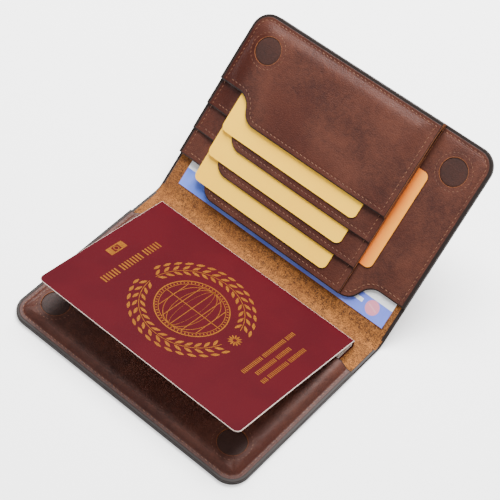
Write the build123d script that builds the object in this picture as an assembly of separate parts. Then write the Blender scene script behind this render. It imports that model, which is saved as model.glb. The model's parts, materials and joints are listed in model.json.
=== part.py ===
from build123d import *
from math import atan, degrees
import os

# Leather passport holder, part open. Millimetres, +Z up, X along the spine.
# The passport half lies flat and the card half leans up from the middle crease.
# The origin is the centre of the passport half's underside.

# --- driving dimensions ---------------------------------------------------
length = 145.0            # along the spine
panel_depth = 85.5        # pocket lip to outer edge, on both halves
corner_radius = 10.0      # outer corners of the cover
cover_thickness = 1.6
panel_thickness = 1.2     # pocket panels and the front slot layer
layer_thickness = 0.7     # the other slot layers
lip_to_crease = 14.0      # pocket lip to the crease that closes the half
closed_height = 14.4      # between the two closing creases
fold_angle = 42.0         # how far the card half leans up
crease_gap = 2.0          # length of leather that bends at a closing crease
middle_gap = 1.0          # length of leather that bends at the middle crease

seam_inset = 3.2          # cut edge to perimeter seam
slot_seam_inset = 2.6     # slot edge to its seam
thread_width = 0.5
thread_height = 0.1
ring_seam_diameter = 18.8

ring_from_side_seam = 3.4   # side seam to the ring of stitches round a magnet
ring_from_outer_seam = 4.4
magnet_diameter = 12.0
magnet_thickness = 0.4
cap_diameter = 14.0
cap_thickness = 0.35
cap_clearance = 0.1       # radial, in the hole
magnet_floor = 0.2        # lining left under the magnet

slot_pitch = 14.4         # from one card slot's edge to the next
first_slot_edge = 32.2    # lip to the front layer's slot edge
slot_layers = 4
ear_rise = 12.0           # how far a slot edge steps back at its left end
ear_width = 15.0
curve_width = 14.0
block_width = 113.5       # of the stack of slot layers, from the left edge
slot_foot = 4.0           # a middle layer ends this far past its card
notch_ear_width = 16.0    # right end of the ticket pocket's edge

card_length = 85.6
card_depth = 54.0
card_thickness = 0.4
card_corner_radius = 3.2
card_left = 15.2          # left edge of the holder to the cards
card_shows = 9.2          # how far a card stands out of its slot
side_card_out = 6.5       # past the block's right edge
side_card_place = 7.2     # lip to the side card

ticket_length = 132.0
ticket_depth = 80.0
ticket_thickness = 0.2
ticket_right = 4.5        # right edge of the holder to the ticket
ticket_shows = 13.0       # past the lip

passport_length = 125.0
passport_depth = 88.0
passport_corner_radius = 3.2
passport_cover_thickness = 0.4
pages_thickness = 2.5
pages_inset = 0.6
passport_shows = 12.8     # past the lip
passport_travel = 3.0     # free room behind the passport in its pocket
pocket_slope = 2.4        # how far the pocket's sides lean in as they rise
front_cover_angle = 12.4

fit_side = 0.4            # clearance beside a card, ticket or passport
fit_height = 0.05         # clearance above and below a card
pocket_height = 0.1       # clearance above the passport and the ticket

# --- places that follow from them ------------------------------------------
half_depth = panel_depth + lip_to_crease
outer_edge = -half_depth / 2
crease = half_depth / 2
pocket_lip = crease - lip_to_crease
middle = crease + closed_height / 2
card_crease = crease + closed_height
card_lip = card_crease + lip_to_crease
card_outer = card_lip + panel_depth
side = length / 2
block_right = block_width - side
seam_side = side - seam_inset
magnet_from_side = seam_inset + ring_from_side_seam + ring_seam_diameter / 2
magnet_from_outer = seam_inset + ring_from_outer_seam + ring_seam_diameter / 2

ticket_bottom = cover_thickness + fit_height
ticket_room = ticket_thickness + pocket_height
ticket_panel_top = cover_thickness + ticket_room + panel_thickness
card_lift = thread_height + fit_height      # a card slides over the slot seams
card_room = card_lift + card_thickness + fit_height

passport_room = passport_cover_thickness + pages_thickness + pocket_height
pocket_ceiling = cover_thickness + passport_room
pocket_top = pocket_ceiling + panel_thickness
pocket_border_top = cover_thickness + panel_thickness
passport_spine = pocket_lip + passport_shows
passport_far = passport_spine - passport_depth
front_cover_bottom = pocket_top + 0.2

folded = (Location((0, middle, cover_thickness / 2)) * Rotation(fold_angle, 0, 0)
          * Location((0, -middle, -cover_thickness / 2)))


def layer_thickness_of(index):
    """The front layer carries a magnet, so it is as thick as a panel."""
    return panel_thickness if index == 0 else layer_thickness


def layer_bottom(index):
    """Underside of a slot layer. Layer 0 is the front one, the last lies on the panel."""
    behind = range(index + 1, slot_layers)
    return ticket_panel_top + sum(card_room + layer_thickness_of(i) for i in behind)


def layer_top(index):
    return layer_bottom(index) + card_room + layer_thickness_of(index)


def slot_edge(index):
    return card_lip + first_slot_edge - index * slot_pitch


def slab(face, bottom, height):
    return extrude(Pos(0, 0, bottom) * face, height)


def plate(x0, x1, y0, y1, bottom, height):
    return Pos((x0 + x1) / 2, (y0 + y1) / 2, bottom + height / 2) * Box(x1 - x0, y1 - y0, height)


def area(x0, x1, y0, y1):
    return Pos((x0 + x1) / 2, (y0 + y1) / 2) * Rectangle(x1 - x0, y1 - y0)


def half_outline(inner, outer, inset=0.0):
    """A half of the holder: square at its inner edge, rounded at its outer corners."""
    x = side - inset
    out = outer - inset if outer > inner else outer + inset
    face = area(-x, x, min(inner, out), max(inner, out))
    corners = face.vertices().filter_by(lambda v: abs(v.Y - out) < 0.01)
    return fillet(corners, corner_radius - inset)


def rounded_card(x0, y0, x1, y1, radius):
    face = area(x0, x1, y0, y1)
    return fillet(face.vertices(), radius)


def slot_line(edge, inset=0.0):
    """The run of a slot's edge: an ear at the left, a soft S, then straight to the right."""
    ear = edge + ear_rise + inset
    low = edge + inset
    start = ear_width - side + inset * 0.6
    end = start + curve_width
    bow = curve_width * 0.55
    return [
        Line((-side - 1, ear), (start, ear)),
        Bezier((start, ear), (start + bow, ear), (end - bow, low), (end, low)),
        Line((end, low), (side + 1, low)),
    ]


def above(lines, top):
    """The face between a run of lines and a straight edge above it."""
    first, last = lines[0] @ 0, lines[-1] @ 1
    closing = Polyline((last.X, last.Y), (last.X, top), (first.X, top), (first.X, first.Y))
    return make_face(lines + [closing])


def stitched(path, region, bottom):
    """A run of thread on a surface, kept to the region where that surface shows."""
    run = slab(trace(path, thread_width), bottom, thread_height)
    return run & slab(region, bottom, thread_height)


def perimeter_path(inner, outer):
    """U-shaped seam round a half, open at the lip."""
    out = outer - seam_inset if outer > inner else outer + seam_inset
    return FilletPolyline(
        (-seam_side, inner), (-seam_side, out), (seam_side, out), (seam_side, inner),
        radius=corner_radius - seam_inset,
    )


def magnet_places(y):
    x = side - magnet_from_side
    return {"left": (-x, y), "right": (x, y)}


def magnet_hole(place, top):
    depth = panel_thickness - magnet_floor
    return Pos(place[0], place[1], top - depth / 2) * Cylinder(
        cap_diameter / 2 + cap_clearance, depth)


def magnet_stack(place, top):
    """The magnet, the leather disc over it and its ring of stitches."""
    x, y = place
    bottom = top - panel_thickness + magnet_floor
    magnet = Pos(x, y, bottom + magnet_thickness / 2) * Cylinder(
        magnet_diameter / 2, magnet_thickness)
    cap = Pos(x, y, bottom + magnet_thickness + cap_thickness / 2) * Cylinder(
        cap_diameter / 2, cap_thickness)
    radius = ring_seam_diameter / 2
    ring = Circle(radius + thread_width / 2) - Circle(radius - thread_width / 2)
    return magnet, cap, slab(Pos(x, y) * ring, top, thread_height)


nodes = {}

# --- cover, one hide: two halves, two spine strips and the creases between ---
nodes["cover_passport_side"] = slab(
    half_outline(crease - crease_gap / 2, outer_edge), 0, cover_thickness)
nodes["crease_passport_side"] = plate(
    -side, side, crease - crease_gap / 2, crease + crease_gap / 2, 0, cover_thickness)
nodes["spine_strip_lower"] = plate(
    -side, side, crease + crease_gap / 2, middle - middle_gap / 2, 0, cover_thickness)
nodes["spine_strip_upper"] = folded * plate(
    -side, side, middle + middle_gap / 2, card_crease - crease_gap / 2, 0, cover_thickness)
nodes["crease_card_side"] = folded * plate(
    -side, side, card_crease - crease_gap / 2, card_crease + crease_gap / 2, 0, cover_thickness)
nodes["cover_card_side"] = folded * slab(
    half_outline(card_crease + crease_gap / 2, card_outer), 0, cover_thickness)


def middle_crease():
    """Fills the wedge between the two strips, from end face to end face."""
    near = middle - middle_gap / 2
    far = [folded * Pos(0, middle + middle_gap / 2, z) for z in (cover_thickness, 0)]
    corners = [(near, 0), (near, cover_thickness)]
    corners += [(p.position.Y, p.position.Z) for p in far]
    wedge = Plane.YZ * make_face(Polyline(*corners, close=True))
    return extrude(wedge, side, both=True)


nodes["crease_middle"] = middle_crease()


# --- passport half -----------------------------------------------------------
def passport_pocket():
    """Sewn flat round three sides and raised in the middle over the passport."""
    rise = pocket_top - pocket_border_top
    room_side = passport_length / 2 + fit_side
    room_far = passport_far - passport_travel - fit_side
    ring_side = side - magnet_from_side + ring_seam_diameter / 2 + thread_width
    foot_side = max(ring_side, room_side + fit_side) + pocket_slope
    foot_far = room_far - pocket_slope
    border = slab(half_outline(pocket_lip, outer_edge), cover_thickness, panel_thickness)
    foot = area(-foot_side, foot_side, foot_far, pocket_lip + 2 * rise)
    far_corners = foot.vertices().filter_by(lambda v: v.Y < pocket_lip)
    foot = fillet(far_corners, corner_radius)
    raised = extrude(Pos(0, 0, pocket_border_top) * foot, rise,
                     taper=degrees(atan(pocket_slope / rise)))
    raised &= plate(-side, side, outer_edge, pocket_lip, pocket_border_top, rise)
    room = plate(-room_side, room_side, room_far, pocket_lip + 1, cover_thickness, passport_room)
    return border + raised - room


pocket = passport_pocket()
pocket_magnets = magnet_places(outer_edge + magnet_from_outer)
for name, place in pocket_magnets.items():
    pocket -= magnet_hole(place, pocket_top)
    magnet, cap, ring = magnet_stack(place, pocket_top)
    nodes[f"pocket_magnet_{name}"] = magnet
    nodes[f"pocket_magnet_cap_{name}"] = cap
    nodes[f"pocket_magnet_thread_{name}"] = ring
nodes["passport_pocket_panel"] = pocket
nodes["pocket_seam_thread"] = stitched(
    perimeter_path(pocket_lip, outer_edge), area(-side, side, outer_edge, pocket_lip),
    pocket_border_top)

# --- card half ---------------------------------------------------------------
card_half = half_outline(card_lip - slot_layers * slot_pitch, card_outer)
block_area = area(-side, block_right, card_lip - slot_layers * slot_pitch, card_outer + 1)
last_edge = slot_edge(slot_layers - 1)


def ticket_edge(inset=0.0):
    """The ticket pocket's edge: an ear at each end and the middle standing out."""
    left, sweep, low = slot_line(last_edge, inset)
    ear = left @ 0
    turn = side - notch_ear_width - inset * 0.6
    bow = curve_width * 0.55
    end = sweep @ 1
    return [
        left, sweep,
        Line((end.X, end.Y), (turn - curve_width, end.Y)),
        Bezier((turn - curve_width, end.Y), (turn - curve_width + bow, end.Y),
               (turn - bow, ear.Y), (turn, ear.Y)),
        Line((turn, ear.Y), (side + 1, ear.Y)),
    ]


def ticket_pocket():
    face = above(ticket_edge(), card_outer + 1) & card_half
    panel = slab(face, cover_thickness, ticket_room + panel_thickness)
    right = side - ticket_right + fit_side
    left = right - ticket_length - 2 * fit_side
    far = card_lip - ticket_shows + ticket_depth
    room_far = card_outer - seam_inset
    room = plate(left, right, last_edge - 1, max(room_far, far), cover_thickness, ticket_room)
    return panel - room


ticket_panel = ticket_pocket()
card_magnets = magnet_places(card_outer - magnet_from_outer)
ticket_panel -= magnet_hole(card_magnets["right"], ticket_panel_top)
nodes["ticket_pocket_panel"] = folded * ticket_panel


def card_place(index):
    """Left, near, right and far edges of the card in a slot."""
    left = card_left - side
    near = slot_edge(index) - card_shows
    return left, near, left + card_length, near + card_depth


def side_card_place_edges():
    right = block_right + side_card_out
    near = card_lip + side_card_place
    return right - card_length, near, right, near + card_depth


def slot_layer(index):
    """One layer of the block, with the room for its card under it."""
    face = above(slot_line(slot_edge(index)), card_outer + 1) & card_half & block_area
    layer = slab(face, layer_bottom(index), card_room + layer_thickness_of(index))
    if index == slot_layers - 1:
        x0, y0, x1, y1 = side_card_place_edges()
        room = plate(x0 - side_card_out - fit_side, block_right + 1, y0 - fit_side,
                     y1 + fit_side, layer_bottom(index), card_room)
    else:
        x0, y0, x1, y1 = card_place(index)
        room = plate(x0 - fit_side, x1 + fit_side, y0 - fit_side, y1 + fit_side,
                     layer_bottom(index), card_room)
    if 0 < index < slot_layers - 1:
        layer &= plate(-side, side, slot_edge(index), y1 + slot_foot,
                       layer_bottom(index), card_room + layer_thickness_of(index))
    return layer - room


layer_names = ["slot_layer_front", "slot_layer_second", "slot_layer_third", "slot_layer_back"]
layers = [slot_layer(i) for i in range(slot_layers)]
front_top = layer_top(0)
layers[0] -= magnet_hole(card_magnets["left"], front_top)
for name, layer in zip(layer_names, layers):
    nodes[name] = folded * layer

for name, top in (("left", front_top), ("right", ticket_panel_top)):
    magnet, cap, ring = magnet_stack(card_magnets[name], top)
    nodes[f"card_magnet_{name}"] = folded * magnet
    nodes[f"card_magnet_cap_{name}"] = folded * cap
    nodes[f"card_magnet_thread_{name}"] = folded * ring


def bands_by_layer():
    """For each surface level of the card half, the area where that surface shows."""
    shown = []
    whole = area(-side, side, card_lip - slot_layers * slot_pitch, card_outer)
    left_part = whole & block_area
    above_edge = [above(slot_line(slot_edge(i)), card_outer + 1) & left_part
                  for i in range(slot_layers)]
    shown.append((layer_top(0), above_edge[0]))
    for i in range(1, slot_layers):
        shown.append((layer_top(i), above_edge[i] - above_edge[i - 1]))
    right_part = area(block_right, side, card_lip - slot_layers * slot_pitch, card_outer)
    pocket_face = above(ticket_edge(), card_outer + 1)
    shown.append((ticket_panel_top, pocket_face & right_part))
    return shown


perimeter = perimeter_path(card_lip + ear_rise + first_slot_edge - slot_pitch * slot_layers,
                           card_outer)
runs = [stitched(perimeter, region, top) for top, region in bands_by_layer()]
nodes["card_perimeter_thread"] = folded * Compound([s for run in runs for s in run.solids()])

for i, name in enumerate(layer_names):
    x_from = -seam_side + seam_inset
    region = area(x_from, block_right - seam_inset - thread_width,
                  slot_edge(i), slot_edge(i) + ear_rise + seam_inset)
    line = slot_line(slot_edge(i), slot_seam_inset)
    nodes[name.replace("layer", "thread")] = folded * stitched(line, region, layer_top(i))

notch_region = area(block_right + thread_width, seam_side - thread_width,
                    last_edge, card_lip + ear_rise)
nodes["ticket_pocket_thread"] = folded * stitched(
    ticket_edge(slot_seam_inset), notch_region, ticket_panel_top)


def block_edge_thread():
    """The seam down the block's right edge, on each layer where that layer shows."""
    x = block_right - seam_inset
    run = area(x - thread_width / 2, x + thread_width / 2, last_edge + slot_seam_inset,
               card_outer - seam_inset - thread_width)
    pieces = []
    for top, region in bands_by_layer()[:slot_layers]:
        pieces += (slab(run, top, thread_height) & slab(region, top, thread_height)).solids()
    return Compound(pieces)


nodes["block_edge_thread"] = folded * block_edge_thread()

# --- contents ----------------------------------------------------------------
for i in range(slot_layers - 1):
    face = rounded_card(*card_place(i), card_corner_radius)
    nodes[f"card_{i + 1}"] = folded * slab(face, layer_bottom(i) + card_lift, card_thickness)
side_face = rounded_card(*side_card_place_edges(), card_corner_radius)
side_card_bottom = layer_bottom(slot_layers - 1) + card_lift
nodes["side_card"] = folded * slab(side_face, side_card_bottom, card_thickness)

ticket_right_edge = side - ticket_right
ticket_near = card_lip - ticket_shows
nodes["ticket"] = folded * plate(
    ticket_right_edge - ticket_length, ticket_right_edge, ticket_near,
    ticket_near + ticket_depth, ticket_bottom, ticket_thickness)


def passport_leaf(bottom, height, inset=0.0):
    """A leaf of the passport, rounded only at the corners away from its spine."""
    x = passport_length / 2 - inset
    face = area(-x, x, passport_far + inset, passport_spine)
    far = face.vertices().filter_by(lambda v: v.Y < passport_spine - 1)
    return slab(fillet(far, passport_corner_radius - inset), bottom, height)


spine_height = front_cover_bottom - 0.25 - cover_thickness
spine_wrap = plate(-passport_length / 2, passport_length / 2,
                   passport_spine - passport_cover_thickness, passport_spine,
                   cover_thickness, spine_height)
nodes["passport_back_cover"] = passport_leaf(
    cover_thickness, passport_cover_thickness) + spine_wrap
pages = passport_leaf(cover_thickness + passport_cover_thickness, pages_thickness, pages_inset)
pages -= plate(-side, side, passport_spine - passport_cover_thickness, crease, 0, pocket_top)
nodes["passport_pages"] = pages

hinge_z = front_cover_bottom + passport_cover_thickness / 2
cover_tilt = (Location((0, passport_spine, hinge_z)) * Rotation(-front_cover_angle, 0, 0)
              * Location((0, -passport_spine, -hinge_z)))
nodes["passport_front_cover"] = cover_tilt * passport_leaf(
    front_cover_bottom, passport_cover_thickness)

os.makedirs("parts", exist_ok=True)
for name, shape in nodes.items():
    export_step(shape, f"parts/{name}.step")
print(len(nodes), "nodes")
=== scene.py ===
import bmesh
import bpy
import json
import math
from mathutils import Matrix, Vector, noise
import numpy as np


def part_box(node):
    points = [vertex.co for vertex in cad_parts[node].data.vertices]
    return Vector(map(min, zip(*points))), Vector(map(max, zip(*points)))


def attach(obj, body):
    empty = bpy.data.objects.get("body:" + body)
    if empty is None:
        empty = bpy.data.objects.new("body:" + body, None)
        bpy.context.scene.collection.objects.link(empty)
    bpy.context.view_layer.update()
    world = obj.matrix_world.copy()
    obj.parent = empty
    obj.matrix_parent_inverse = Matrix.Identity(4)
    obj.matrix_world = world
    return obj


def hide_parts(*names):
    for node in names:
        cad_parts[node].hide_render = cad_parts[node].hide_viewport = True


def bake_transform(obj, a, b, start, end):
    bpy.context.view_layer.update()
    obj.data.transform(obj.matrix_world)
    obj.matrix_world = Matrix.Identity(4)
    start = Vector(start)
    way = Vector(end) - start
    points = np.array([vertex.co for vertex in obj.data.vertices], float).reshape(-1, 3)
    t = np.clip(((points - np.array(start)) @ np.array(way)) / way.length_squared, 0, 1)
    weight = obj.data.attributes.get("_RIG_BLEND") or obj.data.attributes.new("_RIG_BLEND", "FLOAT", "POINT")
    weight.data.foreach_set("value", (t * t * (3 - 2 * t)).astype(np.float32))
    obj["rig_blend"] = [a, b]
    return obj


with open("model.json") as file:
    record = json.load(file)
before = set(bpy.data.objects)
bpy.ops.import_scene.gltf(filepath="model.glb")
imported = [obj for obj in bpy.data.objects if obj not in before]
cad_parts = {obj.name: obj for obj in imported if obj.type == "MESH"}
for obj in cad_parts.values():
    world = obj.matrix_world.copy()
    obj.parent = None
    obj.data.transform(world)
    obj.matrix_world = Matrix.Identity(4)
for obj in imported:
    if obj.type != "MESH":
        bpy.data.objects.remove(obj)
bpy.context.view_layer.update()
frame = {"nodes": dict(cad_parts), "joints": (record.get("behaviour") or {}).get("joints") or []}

# Lengths below are in millimetres. The card half is worked flat, in line with the
# passport half, and folded up about the middle crease when it is finished.
MM = 0.001


# --- places, read from the frame --------------------------------------------------------
def turn_back(name):
    """How far a joint turns back from rest, in radians."""
    joint = next(j for j in frame["joints"] if j["name"] == name)
    return math.radians(-joint["range_deg"][0])


def box_mm(node):
    """Lowest and highest corner of a node."""
    return [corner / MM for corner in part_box(node)]


def mesh_points(node):
    """Every point of a node's mesh."""
    return [v.co / MM for v in frame["nodes"][node].data.vertices]


strip_end = box_mm("spine_strip_lower")[1]
half_gap = 0.5                       # half the strip that bends at the middle crease
fold_angle = turn_back("middle_crease")
cover_thick = strip_end.z
crease = sum(corner.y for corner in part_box("crease_passport_side")) / 2 / MM
middle = strip_end.y + half_gap
pivot = Vector((0, middle, cover_thick / 2))
fold_up = (Matrix.Translation(pivot) @ Matrix.Rotation(fold_angle, 4, "X")
           @ Matrix.Translation(-pivot))
fold_flat = fold_up.inverted()


def flat_box(node):
    """Lowest and highest corner of a card-side node, laid flat."""
    points = [fold_flat @ p for p in mesh_points(node)]
    return [Vector([pick(p[i] for p in points) for i in range(3)]) for pick in (min, max)]


pocket_low, pocket_high = box_mm("passport_pocket_panel")
side = pocket_high.x
outer_edge = pocket_low.y
lip = pocket_high.y
pocket_top = pocket_high.z
border_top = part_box("pocket_seam_thread")[0].z / MM
card_crease = sum(corner.y for corner in flat_box("crease_card_side")) / 2
card_outer = flat_box("cover_card_side")[1].y
ticket_low, ticket_high = flat_box("ticket_pocket_panel")
layer_names = ["front", "second", "third", "back"]
layer_boxes = [flat_box("slot_layer_" + name) for name in layer_names]
block_right = layer_boxes[0][1].x
corner_round = 10.0
seam_in = 3.2                        # outer edge to the seam
slot_seam_in = 2.6                   # slot edge to its seam
ear_rise = 12.0                      # slot edge to the top of the ear at its left end
panel_thick = 1.2
edge_soft = 0.42
ring_radius = 9.4                    # the seam round each magnet
ring_room = 10.4                     # half the square that is cut out round it
cap_low, cap_high = box_mm("pocket_magnet_cap_left")
well_radius = (cap_high.x - cap_low.x) / 2 + 0.15
well_depth = 1.0


# --- small helpers ----------------------------------------------------------------------
def ease(t):
    """Smooth from 0 to 1, and held at either end."""
    t = min(1.0, max(0.0, t))
    return t * t * (3 - 2 * t)


def mix(a, b, t):
    return a + (b - a) * t


def from_edge(x, y, outer):
    """How far a point is in from the holder's outer edge, round corners included."""
    along = (y - outer) if outer < 0 else (outer - y)
    qx = abs(x) - (side - corner_round)
    qy = corner_round - along
    reach = math.hypot(max(qx, 0), max(qy, 0)) + min(max(qx, qy), 0)
    return corner_round - reach


def ripple(x, y, size, depth, seed=0.0):
    """The slow unevenness of a hide."""
    return depth * noise.noise(Vector((x / size, y / size, seed)))


def outline(corners, rounding, segments=8):
    """A flat face through a few corners; each corner has its own rounding."""
    bm = bmesh.new()
    bm.faces.new([bm.verts.new((x, y, 0)) for x, y in corners])
    for corner, size in zip(list(bm.verts), rounding):
        if size:
            bmesh.ops.bevel(bm, geom=[corner], offset=size, offset_type="OFFSET",
                            segments=segments, profile=0.5, affect="VERTICES", material=-1)
    return bm


def slab(bm, thickness, soft=edge_soft, rings=(), under_rings=None):
    """Gives an outline its thickness, rounds its rims and insets rings round both faces."""
    bm.faces.ensure_lookup_table()
    base = bm.faces[0]
    wrap = bm.verts.layers.float.new("rim")
    grown = bmesh.ops.extrude_face_region(bm, geom=[base])
    lifted = [g for g in grown["geom"] if isinstance(g, bmesh.types.BMVert)]
    bmesh.ops.translate(bm, vec=(0, 0, thickness), verts=lifted)
    bmesh.ops.recalc_face_normals(bm, faces=bm.faces)
    rims = [e for e in bm.edges if abs(e.verts[0].co.z - e.verts[1].co.z) < 1e-6]
    bmesh.ops.bevel(bm, geom=rims, offset=soft, offset_type="OFFSET", segments=3,
                    profile=0.5, affect="EDGES", material=-1)
    for v in bm.verts:
        v[wrap] = 1.0
    for sign, widths in ((1, rings), (-1, under_rings or rings[:1])):
        for i, width in enumerate(widths):
            face = max(bm.faces, key=lambda f: (
                round(sign * f.calc_center_median().z, 4), f.calc_area()))
            bmesh.ops.inset_region(bm, faces=[face], thickness=width, use_even_offset=True)
            if i == 0:
                for v in face.verts:
                    v[wrap] = 0.0
    return bm


def cut(bm, axis, places):
    """Cuts the whole piece across at each place, so that it can take a shape."""
    normal = Vector((1, 0, 0)) if axis == 0 else Vector((0, 1, 0))
    for place in places:
        bmesh.ops.bisect_plane(bm, geom=bm.verts[:] + bm.edges[:] + bm.faces[:], dist=1e-5,
                               plane_co=normal * place, plane_no=normal)


def steps(start, end, size):
    """Even places between start and end, about size apart."""
    count = max(1, round((end - start) / size))
    return [start + (end - start) * i / count for i in range(1, count)]


def finish_piece(bm, name, materials, body=None, slot=None, folded=False, pick=None,
                 sharp=35, nodes=()):
    """Makes a bmesh in millimetres into a piece in metres, in its place."""
    if pick:
        for f in bm.faces:
            f.material_index = pick(f)
    if folded:
        bmesh.ops.transform(bm, matrix=fold_up, verts=bm.verts)
    bmesh.ops.scale(bm, vec=(MM, MM, MM), verts=bm.verts)
    for f in bm.faces:
        f.smooth = True
    mesh = bpy.data.meshes.new(name)
    bm.to_mesh(mesh)
    bm.free()
    mesh.set_sharp_from_angle(angle=math.radians(sharp))
    piece = bpy.data.objects.new(name, mesh)
    bpy.context.scene.collection.objects.link(piece)
    for finish in materials:
        mesh.materials.append(finish)
    if nodes:
        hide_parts(*nodes)
    if body:
        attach(piece, body)
    return piece


# --- materials --------------------------------------------------------------------------
class Value:
    """A socket of a material, so that its maths is written as an expression."""

    def __init__(self, socket):
        self.socket = socket

    def add(self, kind, settings=None, inputs=None, output=0):
        """Adds any other node: its settings first, then the values or links of its sockets."""
        tree = self.socket.id_data
        node = tree.nodes.new(kind)
        for key, setting in (settings or {}).items():
            setattr(node, key, setting)
        for key, given in (inputs or {}).items():
            if isinstance(given, Value):
                tree.links.new(given.socket, node.inputs[key])
            else:
                node.inputs[key].default_value = given
        return Value(node.outputs[output])

    def maths(self, operation, *others):
        return self.add("ShaderNodeMath", {"operation": operation},
                        dict(enumerate((self, *others))))

    def __add__(self, other):
        return self.maths("ADD", other)

    __radd__ = __add__

    def __mul__(self, other):
        return self.maths("MULTIPLY", other)

    __rmul__ = __mul__

    def __sub__(self, other):
        return self.maths("SUBTRACT", other)

    def __rsub__(self, other):
        return (self * -1.0) + other

    def __abs__(self):
        return self.maths("ABSOLUTE")

    def power(self, other):
        return self.maths("POWER", other)

    def between(self, low, high):
        """0 below low, 1 above high and smooth in between."""
        return self.add("ShaderNodeMapRange", {"interpolation_type": "SMOOTHSTEP"},
                        {0: self, 1: low, 2: high, 3: 0.0, 4: 1.0})

    def noise(self, size, detail=3.0, rough=0.55, warp=0.0):
        """Noise whose features are about size millimetres."""
        return self.add("ShaderNodeTexNoise", {"noise_dimensions": "3D"},
                        {"Vector": self, "Scale": 1 / (size * MM), "Detail": detail,
                         "Roughness": rough, "Distortion": warp})

    def cells(self, size, feature="F1"):
        return self.add("ShaderNodeTexVoronoi", {"feature": feature},
                        {"Vector": self, "Scale": 1 / (size * MM)})

    def colours(self, first, second):
        """first where this is 0, second where it is 1."""
        return self.add("ShaderNodeMix", {"data_type": "RGBA"},
                        {0: self, 6: first, 7: second}, 2)

    def flat(self):
        """The place on the card half when it is laid flat, from its place at rest."""
        turn = Matrix.Rotation(-fold_angle, 4, "X")
        shift = (pivot - turn @ pivot) * MM
        return self.add("ShaderNodeMapping", {"vector_type": "POINT"},
                        {"Vector": self, "Location": shift, "Rotation": (-fold_angle, 0, 0)})

    def axis(self, which):
        return self.add("ShaderNodeSeparateXYZ", {}, {0: self}, which) * (1 / MM)


def colour(red, green, blue):
    """A linear colour from the 0 to 255 values a colour card gives."""
    def linear(c):
        c /= 255
        return c / 12.92 if c <= 0.04045 else ((c + 0.055) / 1.055) ** 2.4
    return (linear(red), linear(green), linear(blue), 1)


def material(name, recipe, bump=0.1, **constants):
    """recipe takes the Object coordinates and gives Base Color, Roughness and height."""
    made = bpy.data.materials.new(name)
    made.use_nodes = True
    tree = made.node_tree
    shader = tree.nodes["Principled BSDF"]
    place = Value(tree.nodes.new("ShaderNodeTexCoord").outputs["Object"])
    base, roughness, height, *metallic = recipe(place)
    sockets = {"Base Color": base, "Roughness": roughness}
    if metallic:
        sockets["Metallic"] = metallic[0]
    if height is not None:
        sockets["Normal"] = height.add("ShaderNodeBump", {}, {
            "Height": height, "Distance": bump * MM, "Strength": 1.0})
    for key, given in sockets.items():
        if isinstance(given, Value):
            tree.links.new(given.socket, shader.inputs[key])
        else:
            shader.inputs[key].default_value = given
    for key, given in constants.items():
        shader.inputs[key.replace("_", " ")].default_value = given
    return made


def rim_of(place):
    return place.add("ShaderNodeAttribute", {"attribute_name": "rim"}, {}, 2)


def leather_recipe(light, dark, red, painted=True):
    def recipe(place):
        cloud = place.noise(30, 3.0, 0.5, 0.6)
        smear = place.noise(4.5, 5.0, 0.65, 0.6)
        speck = place.noise(0.9, 3.0, 0.75)
        grain = place.cells(0.55, "SMOOTH_F1")
        fine = place.noise(0.28, 2.0, 0.6)
        tone = (cloud * 0.4 + smear * 0.32 + speck * 0.28).between(0.34, 0.66)
        base = tone.colours(dark, light)
        base = (place.noise(55, 2.0, 0.5).between(0.5, 0.7) * 0.6).colours(base, red)
        # deep: painted shade on leather that slopes down to its seams, darker and redder
        deep = place.add("ShaderNodeAttribute", {"attribute_name": "deep"}, {}, 2)
        base = (deep * 0.85).colours(base, colour(47, 12, 4))
        pores = grain.between(0.05, 0.32)
        base = ((1 - pores) * 0.35).colours(base, dark)
        base = (speck.between(0.55, 0.75) * 0.4).colours(base, light)
        roughness = 0.58 - smear * 0.22 + speck * 0.16 - deep * 0.16
        height = grain * 0.5 + fine * 0.25 + smear * 0.35 + speck * 0.3
        if painted:
            paint = (rim_of(place) + (speck - 0.5) * 0.35).between(0.38, 0.62)
            base = paint.colours(base, edge_colour)
            roughness = roughness * (1 - paint) + paint * (0.5 + speck * 0.12)
            height = height * (1 - paint * 0.8)
        return base, roughness, height
    return recipe


edge_colour = colour(25, 16, 13)
brown_light = colour(79, 42, 30)
brown_dark = colour(46, 19, 13)
brown_red = colour(58, 20, 10)


def suede_recipe(place):
    nap = place.noise(0.55, 4.0, 0.78)
    clump = place.noise(2.2, 3.0, 0.6, 0.5)
    drift = place.noise(16, 2.0, 0.5)
    fibre = place.cells(0.42)
    tone = (nap * 0.7 + clump * 0.3).between(0.42, 0.6)
    base = tone.colours(colour(50, 24, 8), colour(150, 92, 38))
    base = (drift.between(0.4, 0.65) * 0.35).colours(base, colour(96, 50, 16))
    base = (fibre.between(0.45, 0.75) * 0.3).colours(base, colour(158, 104, 48))
    paint = (rim_of(place) + (nap - 0.5) * 0.3).between(0.4, 0.6)
    base = paint.colours(base, edge_colour)
    return base, 0.95 - paint * 0.5, (nap * 0.8 + fibre * 0.5 + clump * 0.6) * (1 - paint)


def raw_edge_and_groove_shade_recipe(place):
    fibre = place.noise(0.5, 4.0, 0.7)
    # raw edge colour, darkened as painted shade for the recessed groove round each magnet
    base = fibre.between(0.35, 0.65).colours(colour(86, 43, 22), colour(130, 78, 45))
    return base, 0.8, fibre


def thread_recipe(place):
    twist = place.noise(0.35, 2.0, 0.6)
    drift = place.noise(12, 2.0, 0.5)
    base = twist.between(0.35, 0.65).colours(colour(77, 44, 29), colour(122, 81, 56))
    base = (drift.between(0.45, 0.62) * 0.5).colours(base, colour(71, 39, 27))
    return base, 0.6, twist


def steel_recipe(place):
    brushed = place.noise(0.9, 3.0, 0.6)
    base = brushed.colours(colour(140, 142, 146), colour(196, 198, 202))
    return base, 0.28 + brushed * 0.2, brushed, 1.0


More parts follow.
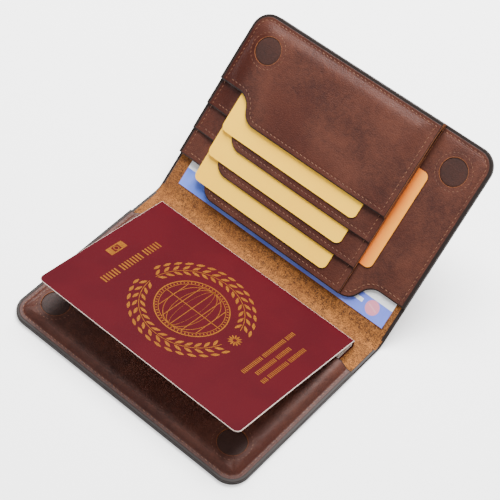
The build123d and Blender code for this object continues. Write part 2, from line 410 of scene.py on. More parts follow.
def booklet_recipe(place):
    weave = place.noise(0.45, 3.0, 0.6)
    drift = place.noise(30, 3.0, 0.5)
    pebble = place.cells(0.6, "SMOOTH_F1")
    base = drift.between(0.4, 0.62).colours(colour(58, 0, 9), colour(62, 1, 10))
    base = (weave.between(0.5, 0.75) * 0.12).colours(base, colour(76, 5, 16))
    # painted highlight: a pale band along the cover's rounded edges
    edge_highlight = (rim_of(place) + (weave - 0.5) * 0.5).between(0.55, 0.9)
    base = edge_highlight.colours(base, colour(200, 182, 172))
    return base, 0.54 + weave * 0.16, pebble * 0.7 + weave * 0.3


def gold_recipe(place):
    leaf = place.noise(0.5, 3.0, 0.7)
    drift = place.noise(14, 2.0, 0.5)
    base = leaf.between(0.35, 0.65).colours(colour(92, 50, 3), colour(128, 78, 10))
    base = (drift.between(0.45, 0.65) * 0.4).colours(base, colour(98, 54, 5))
    return base, 0.5 + leaf * 0.16, leaf, 0.2


def pages_recipe(place):
    leaves = (place.axis(2) * 44.0).maths("SINE") * 0.5 + 0.5
    fibre = place.noise(0.8, 3.0, 0.6)
    tone = (leaves * 0.6 + fibre * 0.4).between(0.25, 0.75)
    return (tone.colours(colour(179, 163, 150), colour(206, 197, 189)),
            0.85 - fibre * 0.05, leaves * 0.6 + fibre * 0.4)


def endpaper_recipe(place):
    fibre = place.noise(0.7, 4.0, 0.6)
    wash = place.noise(18, 3.0, 0.5)
    base = wash.between(0.4, 0.6).colours(colour(199, 185, 175), colour(190, 172, 170))
    base = (fibre.between(0.5, 0.8) * 0.3).colours(base, colour(209, 204, 197))
    return base, 0.86 - fibre * 0.06, fibre


def card_recipe(body, warm, deep):
    """Matt printed card, its tone varying a little at random."""
    def recipe(place):
        flat = place.flat()
        fine = place.noise(0.35, 3.0, 0.6)
        drift = flat.noise(26, 3.0, 0.5)
        rub = place.noise(3.0, 4.0, 0.65, 0.5)
        base = drift.between(0.38, 0.62).colours(body, warm)
        base = (rub.between(0.52, 0.75) * 0.22).colours(base, deep)
        return base, 0.5 + fine * 0.12 - rub * 0.1, fine
    return recipe


def side_card_recipe(place):
    flat = place.flat()
    fine = place.noise(0.35, 3.0, 0.6)
    across = flat.axis(0)
    # painted shadow: the orange is darker under and beside the block's right edge, lighter where the card
    # stands out
    near = (across + (flat.noise(20) - 0.5) * 5).between(40.5, 47.5)
    base = near.colours(colour(208, 98, 6), colour(226, 142, 22))
    base = (place.noise(4.0, 3.0, 0.6).between(0.5, 0.75) * 0.2).colours(
        base, colour(212, 116, 18))
    return base, 0.5 + fine * 0.12, fine


ticket_box = flat_box("ticket")


def ticket_recipe(place):
    """Blue ticket with a white band along the pocket, plain white bars and a coral disc."""
    flat = place.flat()
    across, along = flat.axis(0), flat.axis(1)
    fine = place.noise(0.4, 3.0, 0.6)
    wash = flat.noise(22, 3.0, 0.5)
    blue = wash.between(0.38, 0.62).colours(colour(78, 106, 204), colour(106, 128, 214))
    blue = (across.between(-60, 40) * 0.4).colours(blue, colour(118, 124, 212))
    white = colour(217, 219, 221)
    band = along.between(ticket_box[0].y + 9.4, ticket_box[0].y + 9.7)
    base = band.colours(blue, white)
    disc_x = across - (ticket_box[1].x - 9.5)
    disc_y = along - (ticket_box[0].y + 5.6)
    reach = (disc_x * disc_x + disc_y * disc_y).power(0.5)
    ring = (1 - reach.between(3.7, 3.9)) * 0.9
    base = ring.colours(base, colour(210, 128, 138))
    stripe = (abs(disc_y * 0.8 + disc_x * 0.3)).between(0.25, 0.4)
    base = ((1 - stripe) * (1 - reach.between(2.7, 2.9)) * 0.5).colours(
        base, colour(217, 161, 166))
    block = (abs(across - (ticket_box[1].x - 19.5)).between(3.9, 4.1))
    height = (abs(along - (ticket_box[0].y + 6.0))).between(0.9, 1.1)
    base = ((1 - block) * (1 - height) * 0.95).colours(base, white)
    return base, 0.52 + fine * 0.12, fine


leather = material("brown pull-up leather", leather_recipe(brown_light, brown_dark, brown_red),
                   bump=0.24, Specular_IOR_Level=0.22)
cap_leather = material("dark cap leather", leather_recipe(
    colour(53, 27, 20), colour(32, 14, 10), colour(39, 15, 9), painted=False),
    bump=0.2, Specular_IOR_Level=0.26)
suede = material("suede side of the hide", suede_recipe, bump=0.32, Sheen_Weight=0.08,
                 Sheen_Roughness=0.6, Specular_IOR_Level=0.15)
raw_edge_and_groove_shade = material("raw cut edge with painted groove shade", raw_edge_and_groove_shade_recipe, bump=0.12, Specular_IOR_Level=0.2)
thread = material("waxed thread", thread_recipe, bump=0.05, Specular_IOR_Level=0.35)
steel = material("magnet plating", steel_recipe, bump=0.01)
booklet = material("maroon booklet cover", booklet_recipe, bump=0.03, Specular_IOR_Level=0.06)
gold = material("gold foil", gold_recipe, bump=0.01, Specular_IOR_Level=0.08)
pages = material("page edges", pages_recipe, bump=0.05, Specular_IOR_Level=0.2)
endpaper = material("endpaper", endpaper_recipe, bump=0.02, Specular_IOR_Level=0.2)
yellow_card = material("pale yellow card", card_recipe(
    colour(250, 190, 24), colour(250, 194, 30), colour(246, 180, 20)), bump=0.01)
orange_card = material("orange card", side_card_recipe, bump=0.01)
ticket_paper = material("printed ticket", ticket_recipe, bump=0.01, Specular_IOR_Level=0.3)


# --- the hide: one cover, in three pieces that bend at the creases ----------------------
meet_low = (crease + middle) / 2 + 0.25
meet_high = (middle + card_crease) / 2 - 0.25
hide_depth = cover_thick / 2         # the layer of the hide that keeps its length
crease_half = 3.0                    # how far from a crease the hide still bends
hide_cut = 6.0                       # how finely the hide is cut along the spine


def hide_faces(f):
    """Suede inside, leather outside and on the painted edge."""
    return 1 if f.normal.z > 0.9 else 0


def paint_outer(bm, outer, width=1.3, fade=0.8):
    """The edge paint wraps a little way on to the leather round the outer edge."""
    rim = bm.verts.layers.float["rim"]
    for v in bm.verts:
        reach = 1 - (from_edge(v.co.x, v.co.y, outer) - width) / fade
        v[rim] = max(v[rim], min(1.0, max(0.0, reach)))


def open_strip(low, high, outer=None):
    """A run of hide that is cut clean where it meets its neighbours."""
    over = 4.0
    near = low if outer == low else low - over
    far = high if outer == high else high + over
    corners = [(-side, near), (side, near), (side, far), (-side, far)]
    rounding = [corner_round if outer is not None and y == outer else 0 for _, y in corners]
    bm = slab(outline(corners, rounding, 12), cover_thick, 0.6, (0.3, 0.9),
              (0.3, 0.8, 0.7, 0.8, 0.8))
    for place, away in ((low, -1), (high, 1)):
        if outer is None or place != outer:
            bmesh.ops.bisect_plane(
                bm, geom=bm.verts[:] + bm.edges[:] + bm.faces[:], dist=1e-5,
                plane_co=(0, place, 0), plane_no=(0, away, 0), clear_outer=True)
    return bm


def close_ends(bm):
    """Fills the cut ends, so that a strip is a closed solid."""
    ends = [e for e in bm.edges if e.is_boundary]
    if ends:
        bmesh.ops.holes_fill(bm, edges=ends, sides=0)
    bmesh.ops.recalc_face_normals(bm, faces=bm.faces)


def press_seam(bm, outer, width=0.8, depth=0.22):
    """The groove that the seam pulls into the outside of the hide."""
    for v in bm.verts:
        if v.co.z < hide_depth:
            off = abs(from_edge(v.co.x, v.co.y, outer) - seam_in)
            v.co.z += depth * max(0.0, 1 - off / width)


passport_hide = open_strip(outer_edge, meet_low, outer_edge)
cut(passport_hide, 0, steps(-side, side, hide_cut))
cut(passport_hide, 1, steps(outer_edge, crease - 6, 8.0) + steps(crease - 6, meet_low, 0.8))
paint_outer(passport_hide, outer_edge)
press_seam(passport_hide, outer_edge)
close_ends(passport_hide)
piece = finish_piece(passport_hide, "hide_passport_side", [leather, suede], slot="leather",
                     pick=hide_faces, nodes=("cover_passport_side", "crease_passport_side",
                                             "spine_strip_lower"))
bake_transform(piece, "passport_half", "spine_lower",
         *((0, (crease + away) * MM, hide_depth * MM) for away in (-crease_half, crease_half)))

middle_hide = open_strip(meet_low, meet_high)
cut(middle_hide, 0, steps(-side, side, hide_cut))
cut(middle_hide, 1, steps(meet_low, meet_high, 0.35))
close_ends(middle_hide)
for f in middle_hide.faces:
    f.material_index = hide_faces(f)
bend_radius = (meet_high - meet_low) / 2 / math.tan(fold_angle / 2)
for v in middle_hide.verts:
    turn = fold_angle * (v.co.y - meet_low) / (meet_high - meet_low)
    out = bend_radius - (v.co.z - hide_depth)
    v.co.y = meet_low + out * math.sin(turn)
    v.co.z = hide_depth + bend_radius - out * math.cos(turn)
piece = finish_piece(middle_hide, "hide_middle", [leather, suede], slot="suede",
                     nodes=("crease_middle",))
far_end = fold_up @ Vector((0, meet_high, hide_depth))
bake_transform(piece, "spine_lower", "spine_upper", (0, meet_low * MM, hide_depth * MM),
         tuple(far_end * MM))

card_hide = open_strip(meet_high, card_outer, card_outer)
cut(card_hide, 0, steps(-side, side, hide_cut))
cut(card_hide, 1, steps(meet_high, card_crease + 6, 0.8) + steps(card_crease + 6, card_outer, 8.0))
paint_outer(card_hide, card_outer)
press_seam(card_hide, card_outer)
close_ends(card_hide)
piece = finish_piece(card_hide, "hide_card_side", [leather, suede], slot="leather",
                     folded=True, pick=hide_faces,
                     nodes=("spine_strip_upper", "crease_card_side", "cover_card_side"))
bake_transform(piece, "spine_upper", "card_half",
         *(tuple(fold_up @ Vector((0, card_crease + away, hide_depth)) * MM)
           for away in (-crease_half, crease_half)))


# --- surfaces: the top of each sewn layer, over the flat holder -------------------------
def groove(off, width=0.8, depth=0.14):
    """How deep a seam pulls the leather in, off to one side of it."""
    return depth * max(0.0, 1 - off / width)


def pocket_surface(x, y):
    """Sewn down round three sides and full over the passport."""
    d = from_edge(x, y, outer_edge)
    full = ease((d - seam_in - 0.2) / 4.0)
    return (mix(border_top, pocket_top + 0.02, full) - groove(abs(d - seam_in))
            + ripple(x, y, 24, 0.07, 1.0) * full)


def slot_line(index, x):
    """Where a layer's slot edge runs at x."""
    low = layer_boxes[index][0].y
    start = -side + 15.0
    return low + ear_rise * (1 - ease((x - start) / 14.0))


def ticket_surface(x, y):
    """Sewn down round three sides and nearly flat over the ticket."""
    d = from_edge(x, y, card_outer)
    top = border_top + (ticket_high.z + 0.04 - border_top) * ease((d - seam_in) / 2.4)
    return top - groove(abs(d - seam_in)) + ripple(x, y, 26, 0.05, 2.0) * ease((d - 2) / 6)


# for each layer, from the front one to the back one
layer_thick = [panel_thick, 0.7, 0.7, 0.7]
sewn_side = [7.2, 5.7, 4.6, 3.8]     # top where it is sewn at the left and the outer edge
sewn_right = [7.1, 5.8, 5.1, 4.4]    # top at the block's right edge
left_end_shade = [0.95, 0.9, 0.45, 0.35]     # how much painted shade darkens and reddens its left end


def layer_surface(index, x, y):
    """Flat over the cards, and drawn down where the block is sewn."""
    full = layer_boxes[index][1].z
    sewn = sewn_side[index]
    d = from_edge(x, y, card_outer)
    left = x + side - seam_in
    roll = mix(9.5, 3.6, ease((y - 118) / 16))
    drawn_left = ease((left - 0.1) / roll)
    drawn_right = ease((block_right - seam_in - 0.3 - x) / 8.5)
    outer = ease((d - seam_in - 0.1) / 5.2) if y > card_outer - 14 else 1.0
    held = min(drawn_left, outer)
    level = mix(sewn, full, held)
    level = min(level, mix(sewn_right[index], full, drawn_right))
    if index in (0, 3):
        end = ease((y - (card_outer - 9)) / 8)
        level = mix(level, min(level, mix(sewn, full, outer)), end)
    dip = 0.0
    near = y - slot_line(index, x)
    if x < block_right - 1:
        dip = groove(abs(near - slot_seam_in), 0.9, 0.1)
    dip = max(dip, groove(abs(d - seam_in)), groove(abs(block_right - seam_in - x), 0.9, 0.12))
    lift = 0.18 * ease((x - (block_right - 1.6)) / 1.6) if index == 0 else 0.0
    wave = ripple(x, y, 22, 0.14, 3.0 + index) * held if index == 0 else 0.0
    return level - dip + lift + wave


def layer_underside(index, x, y):
    """Free of the layer below, but built up to meet it where the two are sewn at the edge."""
    below = [i for i in range(index + 1, 4) if y < layer_boxes[i][1].y - 1.8]
    met = layer_surface(below[0], x, y) if below else ticket_surface(x, y)
    free = layer_surface(index, x, y) - layer_thick[index]
    return mix(min(met, free), free, ease((from_edge(x, y, card_outer) - 2.6) / 2.4))


def card_surface(x, y):
    """The leather that shows at a place on the card half."""
    if x <= block_right:
        for index in range(4):
            if y >= slot_line(index, x) - 0.01:
                return layer_surface(index, x, y)
    return ticket_surface(x, y)


def paint_slope_shade(bm, amount):
    """Painted shade where leather slopes down to its seams: how much darker and redder, from 0 to 1."""
    deep = bm.verts.layers.float.new("deep")
    for v in bm.verts:
        v[deep] = amount(v.co.x, v.co.y)


def lay(bm, surface, thickness, underside):
    """Bends a flat slab to lie between two surfaces."""
    for v in bm.verts:
        low, top = underside(v.co.x, v.co.y), surface(v.co.x, v.co.y)
        v.co.z = mix(low, top, v.co.z / thickness)


def magnet_well(bm, x, y, top):
    """Cuts a round hole part way through the slab, with a ring of quads round it."""
    inside = [f for f in bm.faces if f.normal.z > 0.9
              and abs(f.calc_center_median().x - x) < ring_room
              and abs(f.calc_center_median().y - y) < ring_room
              and f.calc_center_median().z > top - 0.01]
    merged = bmesh.ops.dissolve_faces(bm, faces=inside)["region"][0]
    for size in (ring_radius, well_radius + 0.22, well_radius):
        bmesh.ops.inset_region(bm, faces=[merged], thickness=0.4, use_even_offset=False)
        for v in merged.verts:
            out = Vector((v.co.x - x, v.co.y - y)).normalized() * size
            v.co.x, v.co.y = x + out.x, y + out.y
    grown = bmesh.ops.extrude_face_region(bm, geom=[merged])
    floor_verts = [g for g in grown["geom"] if isinstance(g, bmesh.types.BMVert)]
    bmesh.ops.delete(bm, geom=[merged], context="FACES_ONLY")
    bmesh.ops.translate(bm, vec=(0, 0, -well_depth), verts=floor_verts)


def panel_faces(f):
    """Leather on top and at the edges, suede underneath."""
    return 1 if f.normal.z < -0.9 else 0


def grid_cuts(bm, low, high, size, wells=()):
    """Cuts a panel both ways, and exactly round each magnet."""
    for axis in (0, 1):
        fixed = sorted({low[axis], high[axis]} | {c[axis] + s * ring_room for c in wells
                                                  for s in (-1, 1)})
        places = []
        for a, b in zip(fixed, fixed[1:]):
            places += steps(a, b, size)
        cut(bm, axis, places + fixed[1:-1])


def magnet_centre(node):
    low, high = flat_box(node) if node.startswith("card") else box_mm(node)
    return ((low.x + high.x) / 2, (low.y + high.y) / 2)


def well_walls(bm, centres):
    """Raw cut leather on the wall of each magnet's hole, its colour darkened as painted shade for the
    groove.
    """
    for f in bm.faces:
        c = f.calc_center_median()
        for x, y in centres:
            near = math.hypot(c.x - x, c.y - y)
            if (well_radius - 0.3 < near < well_radius + 0.2 and f.normal.z > -0.6
                    and c.z > 0.3):
                f.material_index = 2


# --- passport pocket --------------------------------------------------------------------
panel_rings = (0.28, 0.4, 0.7, 0.7, 0.7, 0.7, 1.1)
pocket_wells = [magnet_centre("pocket_magnet_left"), magnet_centre("pocket_magnet_right")]
bm = slab(outline([(-side, outer_edge), (side, outer_edge), (side, lip), (-side, lip)],
                  [corner_round, corner_round, 0, 0], 12), panel_thick, edge_soft, panel_rings)
grid_cuts(bm, (-side, outer_edge), (side, lip), 1.9, pocket_wells)
for centre in pocket_wells:
    magnet_well(bm, *centre, panel_thick)
paint_outer(bm, outer_edge)
for f in bm.faces:
    f.material_index = panel_faces(f)
well_walls(bm, pocket_wells)
# painted shade along the slope down to the outer seam
paint_slope_shade(bm, lambda x, y: 0.45 * (1 - ease((from_edge(x, y, outer_edge) - 3.4) / 3.5)))
lay(bm, pocket_surface, panel_thick,
    lambda x, y: max(cover_thick, pocket_surface(x, y) - panel_thick))
finish_piece(bm, "passport_pocket", [leather, suede, raw_edge_and_groove_shade], "passport_half", "leather",
             nodes=("passport_pocket_panel",))


# --- ticket pocket ----------------------------------------------------------------------
ticket_edge = ticket_low.y
ear_y = ticket_edge + ear_rise
ear_width = 18.85
sweep_run, sweep_round = 6.3, 5.0    # the soft S between an ear and the slot edge
tongue_in, tongue_run = 16, 14       # from the right side to the tongue's S, and its length
tongue_steep = 3.85                  # taken off both ends of that S
tongue_end = [(side - tongue_in - tongue_run + tongue_steep, ticket_edge),
              (side - tongue_in - tongue_steep, ear_y)]


def slot_corners(low, right, top):
    """An ear at the left, a soft S down to the slot edge, and a straight far end."""
    corners = [(-side, low + ear_rise), (-side + ear_width, low + ear_rise),
               (-side + ear_width + sweep_run, low), (right, low), (right, top), (-side, top)]
    return corners, [0, sweep_round, sweep_round, 0, 0, 0]


corners = [(-side, ear_y), (-side + ear_width, ear_y),
           (-side + ear_width + sweep_run, ticket_edge), *tongue_end, (side, ear_y),
           (side, card_outer), (-side, card_outer)]
bm = slab(outline(corners, [0] + [sweep_round] * 4 + [0, corner_round, corner_round], 10),
          panel_thick, edge_soft, panel_rings[:6])
ticket_wells = [magnet_centre("card_magnet_right")]
grid_cuts(bm, (-side, ticket_edge), (side, card_outer), 2.2, ticket_wells)
magnet_well(bm, *ticket_wells[0], panel_thick)
paint_outer(bm, card_outer)
for f in bm.faces:
    f.material_index = panel_faces(f)
well_walls(bm, ticket_wells)
lay(bm, ticket_surface, panel_thick,
    lambda x, y: max(cover_thick, ticket_surface(x, y) - panel_thick))
finish_piece(bm, "ticket_pocket", [leather, suede, raw_edge_and_groove_shade], "card_half", "leather",
             folded=True, nodes=("ticket_pocket_panel",))


# --- card slots, back layer first -------------------------------------------------------
layer_rings = (0.28, 0.5, 0.6, 0.7, 0.7, 0.8)
slot_wells = [magnet_centre("card_magnet_left")]
for index in (3, 2, 1, 0):
    low_corner, high_corner = layer_boxes[index]
    corners, rounding = slot_corners(low_corner.y, block_right, high_corner.y)
    if high_corner.y > card_outer - 1:
        rounding[-1] = corner_round
    thick = layer_thick[index]
    bm = slab(outline(corners, rounding, 10), thick, min(edge_soft, thick * 0.42), layer_rings)
    wells = slot_wells if index == 0 else []
    grid_cuts(bm, (-side, low_corner.y), (block_right, high_corner.y), 2.0, wells)
    for centre in wells:
        magnet_well(bm, *centre, thick)
    paint_outer(bm, card_outer)
    for f in bm.faces:
        f.material_index = panel_faces(f)
        if f.calc_center_median().x > block_right - 0.3 and f.normal.x > 0.6:
            f.material_index = 2
    well_walls(bm, wells)
    # painted shade at the left end of each layer and along the outer slope
    paint_slope_shade(bm, lambda x, y: max(
        left_end_shade[index] * ease((-side + 16.5 - x) / 7) * ease((slot_line(0, x) + 44 - y) / 18),
        0.3 * ease((6.5 - from_edge(x, y, card_outer)) / 3)))
    lay(bm, lambda x, y: layer_surface(index, x, y), thick,
        lambda x, y: layer_underside(index, x, y))
    name = layer_names[index]
    finish_piece(bm, "card_slot_" + name, [leather, suede, raw_edge_and_groove_shade], "card_half", "leather",
                 folded=True, nodes=("slot_layer_" + name,))


# --- magnet caps ------------------------------------------------------------------------
def magnet_cap(name, node, folded, body):
    """A leather disc, a little domed, pressed into its hole."""
    low, high = flat_box(node) if folded else box_mm(node)
    x, y = magnet_centre(node)
    bm = bmesh.new()
    bmesh.ops.create_circle(bm, cap_ends=True, segments=48, radius=(high.x - low.x) / 2)
    slab(bm, high.z - low.z, 0.14, (1.0, 1.5, 1.6))
    for v in bm.verts:
        if v.co.z > 0.2:
            v.co.z += 0.06 * (1 - (v.co.x ** 2 + v.co.y ** 2) / 49)
    bmesh.ops.translate(bm, vec=(x, y, low.z), verts=bm.verts)
    finish_piece(bm, name, [cap_leather], body, "cap_leather", folded, nodes=(node,))


for half, body, folded in (("pocket", "passport_half", False), ("card", "card_half", True)):
    for hand in ("left", "right"):
        magnet_cap(f"{half}_magnet_cover_{hand}", f"{half}_magnet_cap_{hand}", folded, body)


# --- stitches ---------------------------------------------------------------------------
def loop_points(corners, rounding, inset, segments=12):
    """The line a seam follows: the outline, set in by inset."""
    bm = outline(corners, rounding, segments)
    bmesh.ops.inset_region(bm, faces=bm.faces[:], thickness=inset, use_even_offset=True,
                           use_boundary=True)
    face = min(bm.faces, key=lambda f: -len(f.verts) if f.calc_area() > 50 else 0)
    points = [(v.co.x, v.co.y) for v in face.verts]
    bm.free()
    return points


def run_of(points, keep):
    """The longest stretch of a closed loop that keep allows, finely divided."""
    fine = []
    for (ax, ay), (bx, by) in zip(points, points[1:] + points[:1]):
        count = max(1, round(math.hypot(bx - ax, by - ay) / 0.2))
        fine += [(mix(ax, bx, i / count), mix(ay, by, i / count)) for i in range(count)]
    allowed = [keep(x, y) for x, y in fine]
    if not all(allowed):
        start = next(i for i in range(len(fine)) if allowed[i] and not allowed[i - 1])
        fine, allowed = fine[start:] + fine[:start], allowed[start:] + allowed[:start]
        fine = fine[:allowed.index(False)]
    return fine


def stitches(name, line, surface, body, folded, node, under=False, radius=0.23, spacing=2.4):
    """One short rounded stitch after another along a line, lying on a surface."""
    bm = bmesh.new()
    lengths = [0.0]
    for (ax, ay), (bx, by) in zip(line, line[1:]):
        lengths.append(lengths[-1] + math.hypot(bx - ax, by - ay))
    count = max(1, round(lengths[-1] / spacing))
    pitch = lengths[-1] / count

    def at(s):
        i = min(len(line) - 2, max(0, next((k for k, v in enumerate(lengths) if v > s),
                                          len(line)) - 1))
        t = (s - lengths[i]) / max(1e-6, lengths[i + 1] - lengths[i])
        x, y = mix(line[i][0], line[i + 1][0], t), mix(line[i][1], line[i + 1][1], t)
        return Vector((x, y, surface(x, y)))

    for k in range(count):
        a, b = at((k + 0.16) * pitch), at((k + 0.84) * pitch)
        along = (b - a).normalized()
        up = Vector((0, 0, -1 if under else 1))
        across = along.cross(up).normalized()
        lean = across * 0.16
        centre = (a + b) / 2
        long = (b - a + lean * 2)
        turn = Matrix((long.normalized(), across, along.cross(across))).transposed().to_4x4()
        shape = (Matrix.Translation(centre) @ turn
                 @ Matrix.Diagonal((long.length / 2, radius * 0.95, radius * 0.8, 1)))
        bmesh.ops.create_uvsphere(bm, u_segments=6, v_segments=4, radius=1.0,
                                  matrix=shape @ Matrix.Rotation(math.pi / 2, 4, "Y"))
    bmesh.ops.recalc_face_normals(bm, faces=bm.faces)
    finish_piece(bm, name, [thread], body, "thread", folded, sharp=80,
                 nodes=(node,) if node else ())


def outside_groove(x, y):
    """Where the outside stitches lie: in the groove that they pull into the hide."""
    return 0.2


open_end = lip + seam_in
around = loop_points([(-side, outer_edge), (side, outer_edge), (side, open_end), (-side, open_end)],
                     [corner_round, corner_round, 0, 0], seam_in)
line = run_of(around, lambda x, y: y < lip - 0.4)
stitches("pocket_seam", line, pocket_surface, "passport_half", False, "pocket_seam_thread")
stitches("cover_seam_passport_side", line, outside_groove, "passport_half", False, None,
         under=True)

open_end = ear_y - seam_in
around = loop_points([(-side, open_end), (side, open_end), (side, card_outer), (-side, card_outer)],
                     [0, 0, corner_round, corner_round], seam_in)
line = run_of(around, lambda x, y: y > ear_y + 0.5)
stitches("card_half_seam", line, card_surface, "card_half", True, "card_perimeter_thread")
stitches("cover_seam_card_side", line, outside_groove, "card_half", True, None, under=True)

for index, name in enumerate(layer_names):
    low_corner, high_corner = layer_boxes[index]
    corners, rounding = slot_corners(low_corner.y, block_right, high_corner.y)
    around = loop_points(corners, rounding, slot_seam_in, 10)
    line = run_of(around, lambda x, y: (
        y < low_corner.y + ear_rise + slot_seam_in + 0.05 and -side + 6.2 < x
        and x < block_right - seam_in - 0.3))
    stitches("slot_seam_" + name, line, lambda x, y: layer_surface(index, x, y), "card_half",
             True, "slot_thread_" + name)

reach = 30.0
corners = [(block_right - reach, ticket_edge), *tongue_end, (side, ear_y), (side, ear_y + reach),
           (block_right - reach, ear_y + reach)]
around = loop_points(corners, [0, sweep_round, sweep_round, 0, 0, 0], slot_seam_in, 10)
line = run_of(around, lambda x, y: (y < ear_y + slot_seam_in + 0.05
                                    and block_right + 0.7 < x < side - seam_in - 0.5))
stitches("ticket_pocket_seam", line, ticket_surface, "card_half", True, "ticket_pocket_thread")

seam_start, seam_end = layer_boxes[3][0].y + 2.8, card_outer - 3.8
line = [(block_right - seam_in, seam_start + 0.2 * i)
        for i in range(int((seam_end - seam_start) / 0.2))]
stitches("block_edge_seam", line, card_surface, "card_half", True, "block_edge_thread")

for half, body, folded in (("pocket", "passport_half", False), ("card", "card_half", True)):
    top = pocket_surface if half == "pocket" else card_surface
    for hand in ("left", "right"):
        centre = magnet_centre(f"{half}_magnet_{hand}")
        ring = [(centre[0] + ring_radius * math.cos(math.tau * i / 120),
                 centre[1] + ring_radius * math.sin(math.tau * i / 120)) for i in range(121)]
        stitches(f"{half}_magnet_seam_{hand}", ring, lambda x, y: top(x, y) - 0.08, body, folded,
                 f"{half}_magnet_thread_{hand}", radius=0.2, spacing=2.1)


# --- passport ---------------------------------------------------------------------------
back_low, back_high = box_mm("passport_back_cover")
cover_tilt = turn_back("passport_cover_hinge")
leaf_side = back_high.x
spine_y = back_high.y
leaf_far = back_low.y
leaf_thick = 0.4
leaf_run = 88.0                      # spine to the cover's far edge
hinge_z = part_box("passport_front_cover")[0].z / MM + leaf_thick / 2
foil_up = 0.215                      # foil above the cover's middle layer


def cover_place(x, y, up):
    """The front cover's shape: rolled at the spine, then nearly straight and a little curled."""
    run = spine_y - y
    roll = 2.2
    turned = cover_tilt * ease(run / roll * 0.5 + 0.5) if run < roll else cover_tilt
    share = run / leaf_run
    curl = 0.5 * share * math.sin(share * math.pi) + 0.2 * (x / leaf_side) ** 2 * share
    rise = run * math.sin(cover_tilt) - 0.35 * math.exp(-run / 2.0)
    back = run * math.cos(cover_tilt)
    return Vector((x, spine_y - back - up * math.sin(turned),
                   hinge_z + rise + curl + up * math.cos(turned)))


def leaf(name, materials, body, slot, top, thick, grow, soft, nodes=()):
    """A leaf of the booklet as stiff as card, rounded at the corners away from the spine."""
    x, far = leaf_side + grow, leaf_far - grow
    bm = slab(outline([(-x, far), (x, far), (x, spine_y), (-x, spine_y)], [3.2, 3.2, 0, 0], 8),
              thick, soft, (0.12, 1.0))
    grid_cuts(bm, (-x, far), (x, spine_y), 4.0)
    cut(bm, 1, [spine_y - d for d in (0.3, 0.7, 1.2, 1.8, 2.6)])
    for v in bm.verts:
        v.co = cover_place(v.co.x, v.co.y, v.co.z + top - thick)
    finish_piece(bm, name, materials, body, slot, nodes=nodes, sharp=60)


leaf("passport_cover", [booklet], "passport_front", "passport_cover", leaf_thick / 2, leaf_thick,
     0.0, 0.12, ("passport_front_cover",))
leaf("passport_endpaper", [endpaper], "passport_front", "pages", -0.2, 0.1, 0.12, 0.03)


def on_cover(bm, name):
    """Lays flat foil shapes on the cover."""
    for v in bm.verts:
        v.co = cover_place(v.co.x, v.co.y, foil_up + v.co.z)
    finish_piece(bm, name, [gold], "passport_front", "passport_cover")


def foil(bm, verts, place, turn=0.0, scale=(1, 1)):
    """Sizes a flat shape, turns it and moves it to its place."""
    bmesh.ops.scale(bm, vec=(scale[0], scale[1], 1), verts=verts)
    bmesh.ops.rotate(bm, cent=(0, 0, 0), matrix=Matrix.Rotation(turn, 3, "Z"), verts=verts)
    bmesh.ops.translate(bm, vec=(place[0], place[1], 0), verts=verts)


def foil_ring(bm, place, radius, width, scale=(1, 1), segments=64):
    """A thin flat ring."""
    made = bmesh.ops.create_circle(bm, cap_ends=True, segments=segments, radius=radius)["verts"]
    face = made[0].link_faces[0]
    band = bmesh.ops.inset_region(bm, faces=[face], thickness=width, use_even_offset=True,
                                  use_boundary=True)
    bmesh.ops.delete(bm, geom=[face], context="FACES_ONLY")
    foil(bm, list({v for f in band["faces"] for v in f.verts}), place, 0.0, scale)


def foil_bar(bm, place, length, width, turn=0.0, parts=1):
    """A straight flat bar, in parts where it has to follow the cover's curl."""
    made = bmesh.ops.create_grid(bm, x_segments=parts, y_segments=1, size=0.5)["verts"]
    foil(bm, made, (0, 0), 0.0, (length, width))
    foil(bm, made, place, turn)


def foil_leaf(bm, place, length, width, turn):
    """A pointed flat leaf."""
    made = bmesh.ops.create_circle(bm, cap_ends=True, segments=10, radius=0.5)["verts"]
    for v in made:
        v.co.y *= 1 - 0.9 * abs(v.co.x)
    foil(bm, made, (0, 0), 0.0, (length, width))
    foil(bm, made, place, turn)


# a globe in a wreath, with a small flower where the wreath is open
emblem = bmesh.new()
ex, ey = -2.0, 3.0
globe = 16.2


def round_emblem(radius, angle):
    """A place on the cover at an angle round the emblem."""
    return (ex + radius * math.cos(angle), ey + radius * math.sin(angle))


foil_ring(emblem, (ex, ey), 18.6, 0.6)
foil_ring(emblem, (ex, ey), 16.4, 0.3)
for i in range(60):                  # beads between the two rims
    angle = math.tau * i / 60
    foil_bar(emblem, round_emblem(17.2, angle), 0.9, 0.5, angle)
for squeeze in (0.25, 0.5, 0.76):    # meridians
    foil_ring(emblem, (ex, ey), globe, 0.36, (squeeze, 1.0))
foil_bar(emblem, (ex, ey), 32.2, 0.38, parts=8)
for across in (-0.74, -0.38, 0.0, 0.38, 0.74):   # parallels
    foil_bar(emblem, (ex + globe * across, ey), 2 * globe * math.sqrt(1 - across ** 2), 0.36,
             math.pi / 2, 6)
for hand in (-1, 1):                 # the wreath's leaves, in three rows, and its twig
    for i in range(15):
        swing = math.radians(11 + i * 10.6)
        for radius, lean, lead in ((23.6, 0.55, 0), (27.4, -0.55, 0), (30.4, -0.2, 0.06)):
            angle = math.pi + hand * (swing + lead)
            foil_leaf(emblem, round_emblem(radius, angle), 4.6, 1.7,
                      angle + hand * (math.pi / 2 + lean))
    for i in range(27):
        angle = math.pi + hand * math.radians(8 + i * 5.9)
        foil_bar(emblem, round_emblem(25.5, angle), 2.8, 0.32, angle + math.pi / 2)
for i in range(12):                  # the flower
    angle = math.tau * i / 12
    foil_leaf(emblem, (ex + 27.0 + 2.2 * math.cos(angle), ey + 2.2 * math.sin(angle)), 2.8, 0.9,
              angle)
on_cover(emblem, "passport_emblem")

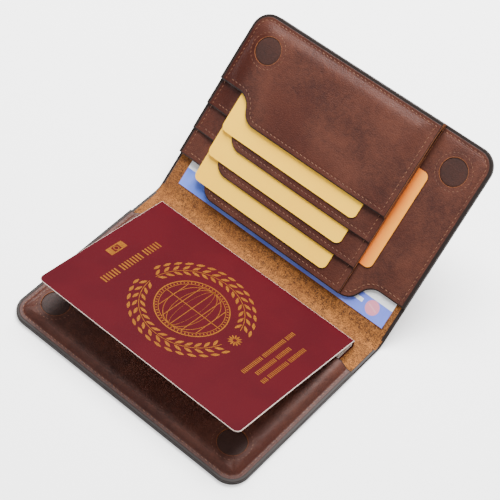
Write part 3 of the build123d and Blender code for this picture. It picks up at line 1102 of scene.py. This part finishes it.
# rows of plain strokes: place of the row, where it starts, marks in each group, height
lettering = bmesh.new()
for place, start, groups, height in (
        (-42.0, 22.0, (3, 4, 3), 4.2), (40.4, 28.0, (3, 8, 7), 2.3),
        (45.4, 19.0, (5, 7), 2.3), (50.4, 24.0, (6, 7, 2), 2.3)):
    along = start
    for marks in groups:
        for _ in range(marks):
            for stroke in (-0.22, 0.22):
                foil_bar(lettering, (place, along + stroke * height), height, height * 0.2)
            along -= height * 0.9
        along -= height * 0.35

# a plain tile with a ring in it
tile = (-53.2, 4.7)
foil_ring(lettering, tile, 1.5, 0.45, segments=32)
for hand in (-1, 1):
    foil_bar(lettering, (tile[0], tile[1] + hand * 3.9), 3.2, 4.6, math.pi / 2)
    foil_bar(lettering, (tile[0] + hand * 2.0, tile[1]), 0.7, 4.6)
on_cover(lettering, "passport_print")


# --- CAD nodes that keep their shape ----------------------------------------------------
kept = {
    "passport_back_cover": booklet, "passport_pages": pages, "card_1": yellow_card,
    "card_2": yellow_card, "card_3": yellow_card, "side_card": orange_card,
    "ticket": ticket_paper,
}
for half in ("pocket", "card"):
    for hand in ("left", "right"):
        kept[f"{half}_magnet_{hand}"] = steel
for node, finish in kept.items():
    mesh = frame["nodes"][node].data
    mesh.materials.clear()
    mesh.materials.append(finish)


# --- floor, light and camera ------------------------------------------------------------
bm = bmesh.new()
bmesh.ops.create_grid(bm, x_segments=1, y_segments=1, size=3.0)
floor_mesh = bpy.data.meshes.new("floor")
bm.to_mesh(floor_mesh)
bm.free()
floor = bpy.data.objects.new("floor", floor_mesh)
bpy.context.scene.collection.objects.link(floor)
floor.data.materials.append(material("pale floor", lambda place: (
    place.noise(400, 2.0, 0.5).colours((0.9, 0.9, 0.9, 1), (0.94, 0.94, 0.94, 1)),
    0.7, None), Specular_IOR_Level=0.1, Emission_Color=(1, 1, 1, 1), Emission_Strength=0.9))

world = bpy.data.worlds.new("studio")
world.use_nodes = True
world.node_tree.nodes["Background"].inputs["Color"].default_value = (1.0, 1.0, 1.0, 1)
world.node_tree.nodes["Background"].inputs["Strength"].default_value = 0.62
bpy.context.scene.world = world


def softbox(name, place, aim, width, height, power):
    lamp = bpy.data.lights.new(name, "AREA")
    lamp.shape = "RECTANGLE"
    lamp.size, lamp.size_y, lamp.energy = width, height, power
    made = bpy.data.objects.new(name, lamp)
    made.location = place
    made.rotation_mode = "QUATERNION"
    made.rotation_quaternion = (Vector(aim) - Vector(place)).to_track_quat("-Z", "Y")
    bpy.context.scene.collection.objects.link(made)


softbox("top softbox", (-0.15, 0.45, 0.95), (0, 0.04, 0), 0.8, 0.6, 47.0)
softbox("front softbox", (0.1, -0.95, 0.55), (0, 0.04, 0), 0.6, 0.4, 1.5)

azimuth, elevation, roll = (math.radians(a) for a in (37.25, 52.35, 4.79))
target = Vector((-11.6, 58.0, 2.0)) * MM
back = Vector((math.sin(azimuth) * math.cos(elevation),
               -math.cos(azimuth) * math.cos(elevation), math.sin(elevation)))
right = Vector((math.cos(azimuth), math.sin(azimuth), 0))
up = right.cross(-back)
axes = (math.cos(roll) * right + math.sin(roll) * up,
        math.cos(roll) * up - math.sin(roll) * right, back)
lens = bpy.data.cameras.new("camera")
lens.lens, lens.sensor_width = 116.3, 36.0
lens.clip_start, lens.clip_end = 0.05, 20
camera = bpy.data.objects.new("camera", lens)
camera.matrix_world = (Matrix.Translation(target + back * 0.806)
                       @ Matrix(axes).transposed().to_4x4())
bpy.context.scene.collection.objects.link(camera)
bpy.context.scene.camera = camera
